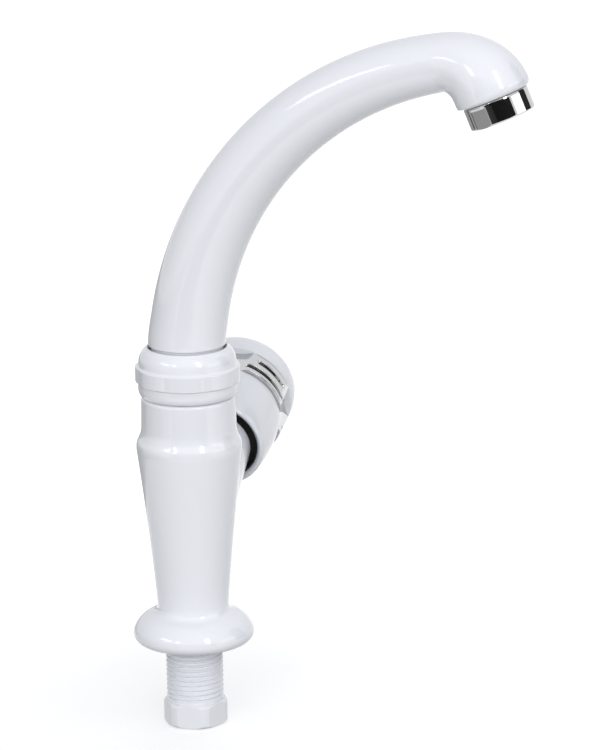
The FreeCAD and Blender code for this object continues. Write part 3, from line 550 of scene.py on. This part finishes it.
def makeSpannerEnd():
    s = spannerSizes
    low, bore, inlet = (shankSizes[key] for key in ("reach", "bore", "inlet"))
    top, corner = low + s["length"], s["cornerRadius"]
    outer = outline([(inlet, low), (corner - s["footBevel"], low, s["footArc"], 1),
                     (corner, low + s["footBevel"]), (corner, top - s["topBevel"]),
                     (corner - s["topBevel"], top), (s["shoulder"], top)], *s["outerEdges"])
    inner = outline([(s["shoulder"], top), (bore, top - s["shoulderDrop"]), (bore, low + s["boreLow"]),
                     (inlet, low + s["inletHigh"]), (inlet, low)], *s["innerEdges"])

    def radiusAt(radius, height, angles):
        return np.minimum(hexRadius(angles), radius)
    return turnedPiece("spannerEnd", np.concatenate([outer[:-1], inner]), upright, s["around"], radiusAt,
                       s["roundBelow"])


put(makeShank(), "base", "white_plastic", "shank")
put(makeSpannerEnd(), "base", "white_plastic")
print("stage: shank and its thread")


# collar nut: plain ring below, waved grip band, dome above
nutSizes = {
    "around": 384, "low": 93.2, "lip": 111.75, "lobe": 19.02, "crease": 18.45, "lobes": 8, "turn": -28.0,
    "bandLow": 98.2, "bandHigh": 104.4, "lipBore": 14.22, "bore": 14.6, "threadBore": 15.28,
    "softness": 0.2, "fineStep": 0.08,
    # short steps within this far of the band's two edges, and longer ones elsewhere
    "bandStep": 0.11, "step": 0.5, "nearLow": 0.7, "nearHigh": 0.8,
    # how far below and above each edge of the band its waves come and go
    "rise": (0.12, 0.5), "fall": (0.45, 0.25),
    # where the band's waves can't reach: the bore, the foot, the dome and the band's upper edge
    "roundBelow": 15.5, "footAbove": 0.5, "domeFrom": 106.5, "edgeFrom": 104.0, "edgeBelow": 17.0}


def makeCollarNut():
    n = nutSizes
    corners = [(15.9, n["low"]), (17.0, n["low"], 4.2, 1), (18.0, 96.6), (18.0, n["bandLow"]),
               (17.8, 104.6), (17.75, 105.4, 7.0, 1), (16.75, 109.0, 3.6, 1), (15.1, 110.7, 1.6, 1),
               (14.45, n["lip"] - 0.2, 0.3, 1), (n["lipBore"], n["lip"] - 0.35)]
    outer = softened(arcPoints(corners, n["fineStep"]), n["softness"])
    keep = [0]
    for index in range(1, len(outer)):
        height = outer[index][1]
        nearBand = (abs(height - n["bandLow"]) < n["nearLow"]
                    or abs(height - n["bandHigh"]) < n["nearHigh"])
        if np.hypot(*(outer[index] - outer[keep[-1]])) > (n["bandStep"] if nearBand else n["step"]):
            keep.append(index)
    inner = np.array([(n["lipBore"], 110.9), (n["bore"], 109.6), (n["bore"], 108.4),
                      (n["threadBore"], 108.4), (n["threadBore"], n["low"] + 0.3)])

    def radiusAt(radius, height, angles):
        plain = height < n["low"] + n["footAbove"] or height > n["domeFrom"]
        if plain or (radius < n["edgeBelow"] and height > n["edgeFrom"]):
            return np.full(len(angles), radius)
        part = (np.degrees(angles) - n["turn"]) * n["lobes"] / 360.0
        middle = np.abs(part - np.round(part)) * 2
        lobe = n["lobe"] - (n["lobe"] - n["crease"]) * middle ** 2
        rises = smoothStep(n["bandLow"] - n["rise"][0], n["bandLow"] + n["rise"][1], height)
        falls = 1 - smoothStep(n["bandHigh"] - n["fall"][0], n["bandHigh"] + n["fall"][1], height)
        return radius + np.maximum(lobe - radius, 0) * rises * falls
    return turnedPiece("collarNut", np.concatenate([outer[keep], inner]), upright, n["around"], radiusAt,
                       n["roundBelow"])


put(makeCollarNut(), "base", "white_plastic", "collar_nut")
print("stage: collar nut")


# spout: a tapering tube on a long arc and a tight one over the outlet, turns in degrees along it
spoutSizes = {
    "around": 192, "start": 104.2, "longRadius": 117.8, "longTurn": 79.5, "tightRadius": 18.4,
    "tightTurn": 78.0, "rootRadius": 14.1, "waist": 10.45, "head": 13.7, "rootTop": 112.2,
    "rootTurn": 8.8, "rootLevel": 3.9, "firstTurn": 1.9, "longRings": 90, "tightRings": 60,
    # the tube narrows partly in step with the turn and partly with its square, then swells to the head
    "narrows": (0.6, 0.4), "swellShare": 0.85, "rim": 1.9, "rimStep": 9, "rimGap": 0.4,
    # a narrower neck inside the collar leaves the dark line that the photograph shows over the nut
    "neck": 13.1, "neckTurn": 3.86, "neckRings": 6, "neckPast": 0.14,
    "neckEdge": ((0.0, 0.35), (0.02, 0.15), (0.06, 0.04)),
    # the outlet's face and socket as (radius, along), then the bore in the head and in the long arc
    "socket": ((11.2, 0.0), (10.75, -0.05), (10.64, -0.2), (10.64, -6.5), (9.4, -6.6)),
    "headBore": 8.6, "headBoreTurn": 22, "headBoreRings": 16, "bore": 8.4, "boreTurn": 4, "boreRings": 20}


def spoutPoint(turn):
    s = spoutSizes
    onLong = math.radians(min(turn, s["longTurn"]))
    x = s["longRadius"] * (1 - math.cos(onLong))
    z = s["start"] + s["longRadius"] * math.sin(onLong)
    lean = math.radians(turn)
    if turn < s["rootTurn"]:
        # upright in the collar, then eased into the long arc
        last = math.radians(s["rootTurn"])
        reach = s["start"] + s["longRadius"] * math.sin(last) - s["rootTop"]
        aside = s["longRadius"] * (1 - math.cos(last))
        share = max(z - s["rootTop"], 0) / reach
        bend = math.tan(last) * reach - 2 * aside
        x = (aside - bend) * share ** 2 + bend * share ** 3
        lean = math.atan((2 * (aside - bend) * share + 3 * bend * share ** 2) / reach)
    elif turn > s["longTurn"]:
        x += s["tightRadius"] * (math.cos(onLong) - math.cos(lean))
        z += s["tightRadius"] * (math.sin(lean) - math.sin(onLong))
    place = Matrix.Rotation(lean, 4, "Y")
    place.translation = Vector((x, 0, z)) * mm
    return place


def spoutRadius(turn):
    s = spoutSizes
    if turn <= s["longTurn"]:
        share = max(turn - s["rootLevel"], 0) / (s["longTurn"] - s["rootLevel"])
        evenly, squared = s["narrows"]
        return s["rootRadius"] - (s["rootRadius"] - s["waist"]) * (evenly * share + squared * share ** 2)
    swell = smoothStep(0, s["swellShare"], (turn - s["longTurn"]) / s["tightTurn"])
    return s["waist"] + (s["head"] - s["waist"]) * swell


def makeSpout():
    s = spoutSizes
    rim, whole = s["rim"], s["longTurn"] + s["tightTurn"]
    lastTurn = whole - math.degrees(rim / s["tightRadius"]) - s["rimGap"]
    angles = np.arange(s["around"]) * 2 * math.pi / s["around"]
    rings = []

    def addRing(place, radius, along=0.0):
        rings.append([place @ turnedPoint(radius, angle, along) for angle in angles])
    for turn in np.linspace(s["firstTurn"], s["neckTurn"], s["neckRings"]):
        addRing(spoutPoint(turn), s["neck"])
    for further, inset in s["neckEdge"]:
        addRing(spoutPoint(s["neckTurn"] + further), s["rootRadius"] - inset)
    turns = list(np.linspace(s["neckTurn"] + s["neckPast"], s["longTurn"], s["longRings"]))
    turns += list(np.linspace(s["longTurn"], lastTurn, s["tightRings"]))[1:]
    for turn in turns:
        addRing(spoutPoint(turn), spoutRadius(turn))
    for degrees in range(0, 91, s["rimStep"]):
        # the rounded rim's rings follow the bend
        angle = math.radians(degrees)
        back = math.degrees(rim * (1 - math.sin(angle)) / s["tightRadius"])
        addRing(spoutPoint(whole - back), s["head"] - rim * (1 - math.cos(angle)))
    for radius, along in s["socket"]:
        addRing(spoutPoint(whole), radius, along)
    for turn in np.linspace(whole - s["headBoreTurn"], s["longTurn"], s["headBoreRings"]):
        addRing(spoutPoint(turn), s["headBore"])
    for turn in np.linspace(s["longTurn"] - s["boreTurn"], s["firstTurn"], s["boreRings"]):
        addRing(spoutPoint(turn), s["bore"])
    points = [point for ring in rings for point in ring]
    piece = meshPiece("spoutTube", points, ringFaces(len(rings), s["around"]))
    finishMesh(piece)
    return piece


put(makeSpout(), "spout", "white_plastic", "spout")
print("stage: spout")


# aerator shell: a short chrome tube with two spanner flats
aeratorSizes = {
    "around": 256, "radius": 11.9, "length": 8.3, "edge": 0.55, "neck": 10.6, "neckLength": 5.0, "bore": 9.9,
    "top": -0.02, "shoulder": 11.5, "ease": (11.85, 0.3), "easeEnd": 1.0,
    "lip": 9.1, "lipFace": 9.6, "lipThickness": 0.9, "lipBevel": 0.25,
    "flat": 11.38, "flatStart": 1.1, "flatTurn": 19.0, "flatEdge": 0.15, "roundBelow": 10.9,
    "leastSine": 0.05, "outerEdges": (0.16, 0.002, 0.35), "innerEdges": (0.12, 0.01, 1.5)}


def makeAerator():
    a = aeratorSizes
    low, end, side = -a["neckLength"], a["length"], a["radius"]
    inside = end - a["lipThickness"]
    loop = np.concatenate([
        outline([(a["bore"], low), (a["neck"], low), (a["neck"], a["top"]), (a["shoulder"], a["top"]),
                 a["ease"], (side, a["easeEnd"]), (side, end - a["edge"]), (side - a["edge"], end),
                 (a["lipFace"], end)], *a["outerEdges"])[:-1],
        outline([(a["lipFace"], end), (a["lip"], end - a["lipBevel"]), (a["lip"], inside),
                 (a["bore"], inside), (a["bore"], low)], *a["innerEdges"])])

    def radiusAt(radius, height, angles):
        across = np.abs(np.sin(angles - math.radians(a["flatTurn"])))
        flat = a["flat"] / np.maximum(across, a["leastSine"])
        depth = smoothStep(a["flatStart"] - a["flatEdge"], a["flatStart"] + a["flatEdge"], height)
        return radius + (np.minimum(flat, radius) - radius) * depth
    outlet = spoutPoint(spoutSizes["longTurn"] + spoutSizes["tightTurn"])
    return turnedPiece("aeratorShell", loop, outlet, a["around"], radiusAt, a["roundBelow"])


put(makeAerator(), "spout", "chrome", "aerator_shell")
print("stage: aerator")


# knob: white skirt, chrome ring with slots and scoops, white cap
knobSizes = {
    "mouth": 37.6, "mouthRadius": 15.9, "mouthDrop": 0.05, "mouthEdge": 17.3, "lipRadius": 18.3,
    "lipHeight": 1.1, "bellArc": 90.0, "bellTop": 17.5, "skirtEnd": 60.9, "skirtRadius": 19.5,
    "skirtAround": 224, "plate": 2.0, "hub": 6.2, "hubLow": 46.5, "gap": 0.02,
    "screwHole": 1.5, "screwHead": 4.2, "screwSeat": 55.5,
    "spigot": 12.2, "spigotOuter": 16.15, "spigotInner": 14.2,
    "ringStart": 20.7, "ringEnd": 21.0, "ringLength": 12.3, "ringBore": 16.3, "ringFace": 19.6,
    "lowBevel": (0.1, 0.5), "highBevel": 0.4, "ringAround": 480, "roundBelow": 17.0,
    "scoops": 4, "scoopRadius": 14.0, "scoopReach": 18.3, "scoopTurn": 6.0, "scoopSoft": 0.10,
    # a middle and a limit that only keep the exponents of the scoops' soft edges small
    "scoopMiddle": 21.0, "scoopFar": 60.0,
    # slots between two scoops: share of the ring's length, half turn in degrees, half width
    "slots": ((0.25, 29.0, 1.0), (0.63, 19.0, 1.0), (0.955, 23.0, 0.45)), "slotDepth": 2.0,
    "slotTaper": 2.7, "slotFall": 0.36, "slotInside": 0.2, "slotOutside": 0.25,
    "capStem": 14.1, "capStemLow": 3.5, "capRim": 20.85, "capRimArc": 17.4, "capSide": 20.97,
    "capSideHeight": 5.8, "capSideArc": 6.5, "capFace": 18.2, "capRise": 2.0, "capHeight": 11.05,
    "capWall": 12.1, "capCeiling": 10.1,
    "skirtEdges": (0.32, 0.003, 1.2), "insideEdges": (0.2, 0.01, 3.0), "ringEdges": (0.22, 0.0, 0.16),
    "capEdges": (0.34, 0.003, 1.0)}


def makeSkirt():
    k = knobSizes
    end, bore, lip = k["skirtEnd"], k["ringBore"], k["mouth"] + k["lipHeight"]
    face, tip, plate = end - k["gap"], end + k["spigot"], end - k["plate"]
    loop = np.concatenate([
        outline([(k["mouthRadius"], lip), (k["mouthEdge"], k["mouth"] - k["mouthDrop"]),
                 (k["lipRadius"], lip, k["bellArc"], 1), (k["skirtRadius"], face), (bore, face)],
                *k["skirtEdges"])[:-1],
        outline([(bore, face), (k["spigotOuter"], tip), (k["spigotInner"], tip), (k["spigotInner"], end),
                 (k["screwHead"], end), (k["screwHead"], k["screwSeat"]), (k["screwHole"], k["screwSeat"]),
                 (k["screwHole"], k["hubLow"]), (k["hub"], k["hubLow"]), (k["hub"], plate),
                 (k["bellTop"], plate), (k["mouthRadius"], lip)], *k["insideEdges"])])
    return turnedPiece("knobSkirt", loop, valvePlace, k["skirtAround"])


def scoopedRadius(radius, turn):
    # the ring's outside less its four round scoops, with a softened edge between them
    k = knobSizes
    bite, soft, middle = k["scoopRadius"], k["scoopSoft"], k["scoopMiddle"]
    away = k["scoopReach"] + bite
    aside = away * np.sin(turn)
    scoop = away * np.cos(turn) - np.sqrt(np.maximum(bite ** 2 - aside ** 2, 0))
    scoop[np.abs(aside) >= bite] = k["scoopFar"]
    inner = np.exp(-np.minimum(scoop, k["scoopFar"]) / soft + middle / soft)
    return -soft * np.log(inner + math.exp(-radius / soft + middle / soft)) + middle


def makeRing():
    k = knobSizes
    low, high = k["skirtEnd"] + k["gap"], k["skirtEnd"] + k["ringLength"] - k["gap"]
    start, end, face = k["ringStart"], k["ringEnd"], k["ringFace"]
    outer = outline([(face, low), (start - k["lowBevel"][0], low), (start, low + k["lowBevel"][1]),
                     (end, high - k["highBevel"]), (end - k["highBevel"], high), (face, high)],
                    *k["ringEdges"])
    inner = np.array([(k["ringBore"], high), (k["ringBore"], low)])
    spacing = 360.0 / k["scoops"]

    def radiusAt(radius, height, angles):
        degrees = (np.degrees(angles) - k["scoopTurn"] + spacing / 2) % spacing - spacing / 2
        share = (height - low) / (high - low)
        fromLand = spacing / 2 - np.abs(degrees)
        depth = np.zeros(len(angles))
        for centre, halfTurn, halfWidth in k["slots"]:
            across = abs(share - centre) * (high - low)
            past = np.maximum(fromLand - halfTurn + k["slotTaper"] * halfWidth, 0) * k["slotFall"]
            opened = 1 - smoothStep(halfWidth - k["slotInside"], halfWidth + k["slotOutside"],
                                    np.hypot(across, past))
            depth = np.maximum(depth, opened)
        return scoopedRadius(radius, np.radians(degrees)) - depth * k["slotDepth"]
    return turnedPiece("knobRing", np.concatenate([outer, inner]), valvePlace, k["ringAround"], radiusAt,
                       k["roundBelow"])


def makeCap():
    k = knobSizes
    low = k["skirtEnd"] + k["ringLength"]
    dome = (k["capFace"] ** 2 + k["capRise"] ** 2) / 2 / k["capRise"]
    top, ceiling, stemLow = low + k["capHeight"], low + k["capCeiling"], low - k["capStemLow"]
    loop = np.concatenate([
        outline([(k["capStem"], low + k["gap"]), (k["capRim"], low + k["gap"], k["capRimArc"], 1),
                 (k["capSide"], low + k["capSideHeight"], k["capSideArc"], 1),
                 (k["capFace"], top, dome, 1), (0.0, top + k["capRise"])], *k["capEdges"]),
        np.array([(0.0, ceiling), (k["capWall"], ceiling), (k["capWall"], stemLow),
                  (k["capStem"], stemLow)])])
    return turnedPiece("knobCap", loop, valvePlace, k["skirtAround"])


# black pads on the floors of the ring's slots, by geometry nodes: painted shade and painted dark reflection
# in the slots
shadePadSizes = {"low": 18.6, "high": 19.5, "crown": 0.12, "steps": 24, "shorter": 1.0, "wider": 0.1}


def makeShadePad(halfTurn, halfWidth):
    # one curved black strip of painted shade that lies on a slot's floor, upright about the valve's axis
    p = shadePadSizes
    section = ((p["low"], -halfWidth), (p["high"], -halfWidth), (p["high"] + p["crown"], 0.0),
               (p["high"], halfWidth), (p["low"], halfWidth))
    count = len(section)
    points = [turnedPoint(radius, math.radians(degrees), along)
              for degrees in np.linspace(-halfTurn, halfTurn, p["steps"]) for radius, along in section]
    faces = []
    for k in range(p["steps"] - 1):
        for n in range(count):
            m = (n + 1) % count
            faces.append((k * count + n, k * count + m, (k + 1) * count + m, (k + 1) * count + n))
    last = (p["steps"] - 1) * count
    faces += [tuple(reversed(range(count))), tuple(last + n for n in range(count))]
    return meshPiece("slotShadePad", points, faces)


def buildShadePadTree():
    # the same painted-shade pad in each of the four lands between the scoops
    tree, given, out = newGrowth("slotShadePads", {
        "Lands": knobSizes["scoops"], "First turn": 0.0, "Along": 0.0})
    calc = calculator(tree)
    row = addNode(tree, "GeometryNodeMeshLine", {"Count": given["Lands"], "Offset": (0, 0, 0)})
    height = addNode(tree, "ShaderNodeCombineXYZ", {2: given["Along"]})
    raised = addNode(tree, "GeometryNodeSetPosition", {
        "Geometry": row.outputs[0], "Offset": height.outputs[0]})
    index = addNode(tree, "GeometryNodeInputIndex").outputs[0]
    step = calc("DIVIDE", 2 * math.pi, given["Lands"])
    turn = calc("ADD", calc("MULTIPLY", index, step), given["First turn"])
    about = addNode(tree, "ShaderNodeCombineXYZ", {2: turn})
    placed = addNode(tree, "GeometryNodeInstanceOnPoints", {
        "Points": raised.outputs[0], "Instance": given["Geometry"], "Rotation": about.outputs[0]})
    return closeGrowth(tree, placed.outputs[0], bySlot["black_rubber"], out)


def makeSlotShadePads():
    k, p = knobSizes, shadePadSizes
    tree = buildShadePadTree()
    for number, (share, halfTurn, halfWidth) in enumerate(k["slots"]):
        shadePad = makeShadePad(halfTurn - p["shorter"], halfWidth + p["wider"])
        shadePad.name = shadePad.data.name = "slotShadePad." + str(number + 1)
        grownMesh(shadePad, tree, {"Lands": k["scoops"],
                              "First turn": math.radians(k["scoopTurn"] + 180.0 / k["scoops"]),
                              "Along": (k["skirtEnd"] + share * k["ringLength"]) * mm})
        finishMesh(shadePad, valvePlace)
        put(shadePad, "knob", "black_rubber")


# a black cup inside the bell that makes its mouth dark and hides the workings behind it
darkCupSizes = {
    "around": 192, "edges": (0.1, 0.01, 2.0),
    "corners": [(15.45, 39.4), (15.85, 39.2), (16.5, 43.0), (17.0, 48.0), (7.6, 48.0), (7.6, 47.4),
                (16.3, 47.4), (15.45, 39.4)]}


def makeDarkCup():
    loop = outline(darkCupSizes["corners"], *darkCupSizes["edges"])[:-1]
    return turnedPiece("darkBellCup", loop, valvePlace, darkCupSizes["around"])


put(makeSkirt(), "knob", "white_plastic", "knob_skirt")
put(makeDarkCup(), "knob", "black_rubber")
# black pads in the ring's slots: painted shade
makeSlotShadePads()
put(makeRing(), "knob", "chrome", "knob_ring")
put(makeCap(), "knob", "white_plastic", "knob_cap")
print("stage: knob")


# studio: camera, pale floor and room, narrow strips that draw the highlights, wide fills that light the
# colour, and dark and grey cards that only the gloss sees
cameraView = {
    "azimuth": 20.0, "elevation": 15.3, "roll": -1.0, "lens": 216.0, "sensor": 36.0, "clipStart": 0.01,
    "distance": 1651.5, "right": 38.83, "up": 96.70}
studio = {
    "floor": -31.6, "floorHalf": 6.0, "floorColor": (0.25, 0.25, 0.25, 1), "floorRoughness": 0.9,
    # what the eye and the gloss see: paper by the tap that fades into the white of the room
    "paper": (0.95, 0.95, 0.95, 1), "glow": 1.4,
    "near": 0.045, "far": 0.24, "nearShare": 0.37, "farShare": 0.72,
    "world": 0.45, "room": (0.93, 0.95, 1.0, 1), "seenWorld": 1.0, "seenRoom": (1, 1, 1, 1),
    "lampAim": (0, 0, 0.1), "cardSteps": 13, "cardTint": (1.0, 0.97, 0.94), "cardRoughness": 0.8}
# azimuth from the camera's side and elevation in degrees, distance, width and height in metres, power
lamps = {
    "leftStrip": (-33.0, 29.0, 1.3, 0.15, 0.3, 0.75),
    "rightStrip": (31.0, 34.0, 1.3, 0.2, 0.6, 2.0),
    "tubeStrip": (-59.0, 30.5, 1.3, 0.5, 0.13, 1.05),
    "sideStrip": (70.0, 18.0, 1.3, 0.72, 0.25, 0.9),
    "lowFill": (-6.0, 12.0, 2.4, 3.0, 1.6, 39.0),
    "highFill": (14.0, 48.0, 2.4, 3.0, 2.4, 15.0),
    "sideFill": (78.0, 22.0, 2.0, 2.0, 1.4, 4.0),
    "backFill": (165.0, 20.0, 2.4, 3.0, 2.0, 24.0)}
# first and last azimuth, distance of the near and far edge, their heights above the floor, shade
cards = {
    "darkTable": (-41.0, 45.0, 0.42, 3.5, 0.001, 0.002, 0.004),
    "darkWall": (-41.0, 45.0, 3.5, 3.6, 0.002, 1.6, 0.004),
    "darkStand": (88.0, 116.0, 1.3, 1.35, 0.0, 1.3, 0.02),
    "greySide": (-175.0, -45.0, 0.24, 1.6, 0.001, 0.002, 0.5),
    "leftLeg": (-75.0, -68.0, 0.3, 0.7, 0.003, 0.004, 0.01),
    "farLeg": (-134.0, -125.0, 0.28, 0.7, 0.003, 0.004, 0.01)}


def makeCamera():
    c = cameraView
    azimuth, elevation, roll = (math.radians(c[key]) for key in ("azimuth", "elevation", "roll"))
    ahead = Vector((-math.sin(azimuth) * math.cos(elevation), math.cos(azimuth) * math.cos(elevation),
                    -math.sin(elevation)))
    level = Vector((math.cos(azimuth), math.sin(azimuth), 0))
    over = level.cross(ahead)
    right = level * math.cos(roll) + over * math.sin(roll)
    up = over * math.cos(roll) - level * math.sin(roll)
    data = bpy.data.cameras.new("photoCamera")
    data.lens = c["lens"]
    data.sensor_width = c["sensor"]
    data.clip_start = c["clipStart"]
    camera = bpy.data.objects.new("photoCamera", data)
    bpy.context.scene.collection.objects.link(camera)
    origin = (-ahead * c["distance"] + right * c["right"] + up * c["up"]) * mm
    camera.matrix_world = placeFrom(right, up, -ahead, origin)
    bpy.context.scene.camera = camera
    return level, -Vector((ahead.x, ahead.y, 0)).normalized()


level, front = makeCamera()


def wayAt(degrees):
    # a level direction from the tap, measured from the camera's side
    turn = math.radians(degrees)
    return front * math.cos(turn) + level * math.sin(turn)


def softBox(name, azimuth, elevation, distance, width, height, power):
    rise = math.radians(elevation)
    way = wayAt(azimuth) * math.cos(rise) + Vector((0, 0, math.sin(rise)))
    data = bpy.data.lights.new(name, "AREA")
    data.shape = "RECTANGLE"
    data.size, data.size_y = width, height
    data.energy = power
    light = bpy.data.objects.new(name, data)
    bpy.context.scene.collection.objects.link(light)
    light.location = Vector(studio["lampAim"]) + way * distance
    light.rotation_euler = (-way).to_track_quat("-Z", "Y").to_euler()
    light.visible_glossy = "Strip" in name  # the strips draw the highlights, the fills light the colour
    light.visible_diffuse = not light.visible_glossy


def makeCard(name, first, last, near, far, low, high, shade):
    base = Vector((0, 0, studio["floor"] * mm))
    ways = [wayAt(degrees) for degrees in np.linspace(first, last, studio["cardSteps"])]
    inner = [base + way * near + Vector((0, 0, low)) for way in ways]
    outer = [base + way * far + Vector((0, 0, high)) for way in ways]
    count = len(ways)
    faces = [(k, k + 1, count + k + 1, count + k) for k in range(count - 1)]
    card = meshPiece(name, inner + outer, faces)
    material, tree = newMaterial(name)
    colour = (*(shade * tint for tint in studio["cardTint"]), 1)
    feed(tree, tree.nodes["Principled BSDF"], {"Base Color": colour, "Roughness": studio["cardRoughness"]})
    card.data.materials.append(material)
    card.visible_camera = False
    card.visible_diffuse = False
    card.visible_shadow = False


def seenMix(tree, hidden, seen):
    # the first shader lights the tap, the second is what the camera, reflections and glass look at
    calc = calculator(tree)
    path = addNode(tree, "ShaderNodeLightPath").outputs
    direct = calc("MAXIMUM", path["Is Camera Ray"], path["Is Glossy Ray"])
    share = calc("MAXIMUM", direct, path["Is Transmission Ray"])
    mixed = addNode(tree, "ShaderNodeMixShader", {0: share, 1: hidden.outputs[0], 2: seen.outputs[0]})
    return mixed.outputs[0]


def makeFloor():
    size, z = studio["floorHalf"], studio["floor"] * mm
    floor = meshPiece("paleFloor", [(-size, -size, z), (size, -size, z), (size, size, z), (-size, size, z)],
                      [(0, 1, 2, 3)])
    material, tree = newMaterial("paleFloorPaper")
    shader = tree.nodes["Principled BSDF"]
    feed(tree, shader, {"Base Color": studio["floorColor"], "Roughness": studio["floorRoughness"]})
    paper = addNode(tree, "ShaderNodeBsdfDiffuse", {"Color": studio["paper"]})
    glow = addNode(tree, "ShaderNodeEmission", {"Strength": studio["glow"]})
    # white paper that takes the tap's shadow close by and fades into the white room
    place = addNode(tree, "ShaderNodeTexCoord").outputs["Object"]
    length = addNode(tree, "ShaderNodeVectorMath", {0: place}, operation="LENGTH")
    fade = addNode(tree, "ShaderNodeMapRange", {
        "Value": length.outputs["Value"], "From Min": studio["near"], "From Max": studio["far"],
        "To Min": studio["nearShare"], "To Max": studio["farShare"]}, interpolation_type="SMOOTHSTEP")
    lit = addNode(tree, "ShaderNodeMixShader", {0: fade.outputs[0], 1: paper.outputs[0], 2: glow.outputs[0]})
    feed(tree, tree.nodes["Material Output"], {"Surface": seenMix(tree, shader, lit)})
    floor.data.materials.append(material)


def makeWorld():
    world = bpy.data.worlds.new("paleRoom")
    bpy.context.scene.world = world
    world.use_nodes = True
    tree = world.node_tree
    plain = tree.nodes["Background"]
    feed(tree, plain, {"Color": studio["room"], "Strength": studio["world"]})
    bright = addNode(tree, "ShaderNodeBackground", {
        "Color": studio["seenRoom"], "Strength": studio["seenWorld"]})
    feed(tree, tree.nodes["World Output"], {"Surface": seenMix(tree, plain, bright)})


for lampName, lampValues in lamps.items():
    softBox(lampName, *lampValues)
for cardName, cardValues in cards.items():
    makeCard(cardName, *cardValues)
makeFloor()
makeWorld()
bpy.context.scene.view_settings.view_transform = "Standard"
print("stage: camera, floor and light")
